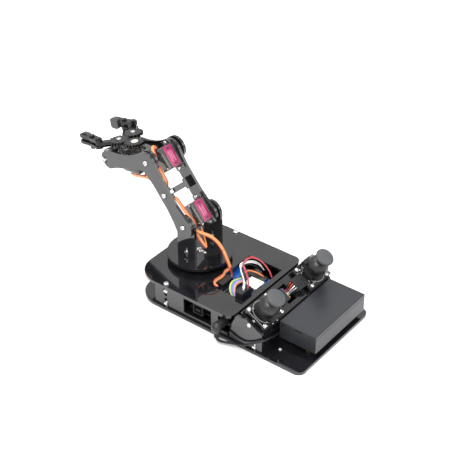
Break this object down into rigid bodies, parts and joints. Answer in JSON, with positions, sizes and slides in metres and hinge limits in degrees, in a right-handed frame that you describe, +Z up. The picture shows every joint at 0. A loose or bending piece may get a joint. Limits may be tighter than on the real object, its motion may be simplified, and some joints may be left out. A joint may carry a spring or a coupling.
{
  "type": "desktop robot arm",
  "caption": "Desktop robot arm of black acrylic sheet: base box with control board, joystick console and battery box, turntable, two-joint servo arm and geared gripper.",
  "frame": {"origin": "on the turntable axis, at the underside of the base plate", "axes": "+X is the arm's straight-ahead reach, away from the battery box, +Y points to the side plate with the USB window, +Z is up"},
  "size_m": [0.3082, 0.1273, 0.1356],
  "materials": {
    "acrylic": "glossy black acrylic sheet",
    "case_plastic": "satin black moulded plastic",
    "black_plastic": "black moulded connectors",
    "servo_case": "smoky servo case",
    "horn_plastic": "white moulded horn",
    "circuit_blue": "blue solder mask",
    "circuit_black": "black solder mask",
    "socket_steel": "stamped shell",
    "screw_steel": "zinc plated",
    "brass": "turned hexagon",
    "cell_wrap": "shrink wrap",
    "spring_steel": "nickel plated",
    "stick_plastic": "matte dark grey",
    "pad_rubber": "matte grey",
    "cord_jacket": "flexible black jacket"
  },
  "bodies": {
    "base": {"base_plate": "acrylic", "side_plate_front": "acrylic", "side_plate_back": "acrylic", "end_plate": "acrylic", "deck_plate": "acrylic", "servo_shelf": "acrylic", "console_bracket_front": "acrylic", "console_bracket_back": "acrylic", "console_plate": "acrylic", "console_ribs": "acrylic", "control_board": "circuit_blue", "usb_socket": "socket_steel", "board_plastics": "black_plastic", "shield_board": "circuit_blue", "brass_standoffs": "brass", "base_servo": "servo_case", "battery_case": "case_plastic", "battery_cells": "cell_wrap", "battery_contacts": "spring_steel", "frame_fasteners": "screw_steel", "joystick_boards": "circuit_black", "joystick_housings": "black_plastic", "power_plug": "black_plastic", "power_cord": "cord_jacket"},
    "battery_lid": {"battery_lid": "case_plastic"},
    "turntable": {"turntable_disc": "acrylic", "bracket_front": "acrylic", "bracket_back": "acrylic", "turntable_horns": "horn_plastic", "turntable_fasteners": "screw_steel"},
    "upper_arm": {"arm_plate_front": "acrylic", "arm_plate_back": "acrylic", "arm_brace": "acrylic", "shoulder_servo": "servo_case", "elbow_servo": "servo_case", "arm_fasteners": "screw_steel"},
    "forearm": {"forearm_plate_front": "acrylic", "forearm_plate_back": "acrylic", "claw_base": "acrylic", "claw_servo": "servo_case", "forearm_fasteners": "screw_steel", "elbow_horn": "horn_plastic"},
    "drive_gear": {"claw_gear_drive": "acrylic", "claw_horn": "horn_plastic"},
    "gear_front": {"claw_gear_front": "acrylic"},
    "gear_back": {"claw_gear_back": "acrylic"},
    "idler_front": {"claw_idler_front": "acrylic"},
    "idler_back": {"claw_idler_back": "acrylic"},
    "finger_front": {"finger_front": "acrylic", "finger_pad_front": "pad_rubber"},
    "finger_back": {"finger_back": "acrylic", "finger_pad_back": "pad_rubber"},
    "joystick_front_yoke": {"joystick_yoke_front": "stick_plastic"},
    "joystick_front_shaft": {"joystick_shaft_front": "stick_plastic"},
    "joystick_front_cap": {"joystick_cap_front": "stick_plastic"},
    "joystick_rear_yoke": {"joystick_yoke_rear": "stick_plastic"},
    "joystick_rear_shaft": {"joystick_shaft_rear": "stick_plastic"},
    "joystick_rear_cap": {"joystick_cap_rear": "stick_plastic"}
  },
  "joints": [
    {"name": "turntable_yaw", "type": "hinge", "parent": "base", "child": "turntable", "pos_m": [0, 0, 0], "axis": [0, 0, 1], "range_deg": [-85.5, 94.5]},
    {"name": "shoulder_pitch", "type": "hinge", "parent": "turntable", "child": "upper_arm", "pos_m": [0.00349, -0.00028, 0.071], "axis": [-0.0785, -0.9969, 0], "range_deg": [-30, 45]},
    {"name": "elbow_pitch", "type": "hinge", "parent": "upper_arm", "child": "forearm", "pos_m": [0.05094, -0.00401, 0.12368], "axis": [-0.0785, -0.9969, 0], "range_deg": [-35, 45]},
    {"name": "claw_drive_turn", "type": "hinge", "parent": "forearm", "child": "drive_gear", "pos_m": [0.08366, -0.00673, 0.11474], "axis": [0.1731, -0.0136, 0.9848], "range_deg": [0, 53]},
    {"name": "claw_gear_front_turn", "type": "hinge", "parent": "forearm", "child": "gear_front", "pos_m": [0.10224, -0.00439, 0.11151], "axis": [-0.1731, 0.0136, -0.9848], "range_deg": [0, 53]},
    {"name": "claw_gear_back_turn", "type": "hinge", "parent": "forearm", "child": "gear_back", "pos_m": [0.10075, -0.02333, 0.11151], "axis": [0.1731, -0.0136, 0.9848], "range_deg": [0, 53]},
    {"name": "claw_idler_front_turn", "type": "hinge", "parent": "forearm", "child": "idler_front", "pos_m": [0.11337, -0.00727, 0.10951], "axis": [-0.1731, 0.0136, -0.9848], "range_deg": [0, 53]},
    {"name": "claw_idler_back_turn", "type": "hinge", "parent": "forearm", "child": "idler_back", "pos_m": [0.11219, -0.02222, 0.10951], "axis": [0.1731, -0.0136, 0.9848], "range_deg": [0, 53]},
    {"name": "finger_front_turn", "type": "hinge", "parent": "gear_front", "child": "finger_front", "pos_m": [0.117, 0.00888, 0.1091], "axis": [0.1731, -0.0136, 0.9848], "range_deg": [0, 53]},
    {"name": "finger_back_turn", "type": "hinge", "parent": "gear_back", "child": "finger_back", "pos_m": [0.11326, -0.03874, 0.1091], "axis": [-0.1731, 0.0136, -0.9848], "range_deg": [0, 53]},
    {"name": "battery_lid_slide", "type": "slide", "parent": "base", "child": "battery_lid", "axis": [0, 1, 0], "range_m": [0, 0.078]},
    {"name": "joystick_front_tilt_across", "type": "hinge", "parent": "base", "child": "joystick_front_yoke", "pos_m": [-0.1096, 0.0365, 0.04278], "axis": [0.866, 0, 0.5], "range_deg": [-14, 14], "stiffness_Nm_per_rad": 0.02},
    {"name": "joystick_front_tilt_along", "type": "hinge", "parent": "joystick_front_yoke", "child": "joystick_front_shaft", "pos_m": [-0.1096, 0.0365, 0.04278], "axis": [0, 1, 0], "range_deg": [-14, 14], "stiffness_Nm_per_rad": 0.02},
    {"name": "joystick_front_press", "type": "slide", "parent": "joystick_front_shaft", "child": "joystick_front_cap", "axis": [-0.5, 0, 0.866], "range_m": [-0.0005, 0], "stiffness_N_per_m": 800},
    {"name": "joystick_rear_tilt_across", "type": "hinge", "parent": "base", "child": "joystick_rear_yoke", "pos_m": [-0.1096, -0.0415, 0.04278], "axis": [0.866, 0, 0.5], "range_deg": [-14, 14], "stiffness_Nm_per_rad": 0.02},
    {"name": "joystick_rear_tilt_along", "type": "hinge", "parent": "joystick_rear_yoke", "child": "joystick_rear_shaft", "pos_m": [-0.1096, -0.0415, 0.04278], "axis": [0, 1, 0], "range_deg": [-14, 14], "stiffness_Nm_per_rad": 0.02},
    {"name": "joystick_rear_press", "type": "slide", "parent": "joystick_rear_shaft", "child": "joystick_rear_cap", "axis": [-0.5, 0, 0.866], "range_m": [-0.0005, 0], "stiffness_N_per_m": 800}
  ],
  "couplings": [
    {"joint": "claw_gear_front_turn", "follows": "claw_drive_turn", "ratio": 1},
    {"joint": "claw_gear_back_turn", "follows": "claw_drive_turn", "ratio": 1},
    {"joint": "claw_idler_front_turn", "follows": "claw_drive_turn", "ratio": 1},
    {"joint": "claw_idler_back_turn", "follows": "claw_drive_turn", "ratio": 1},
    {"joint": "finger_front_turn", "follows": "claw_drive_turn", "ratio": 1},
    {"joint": "finger_back_turn", "follows": "claw_drive_turn", "ratio": 1}
  ]
}
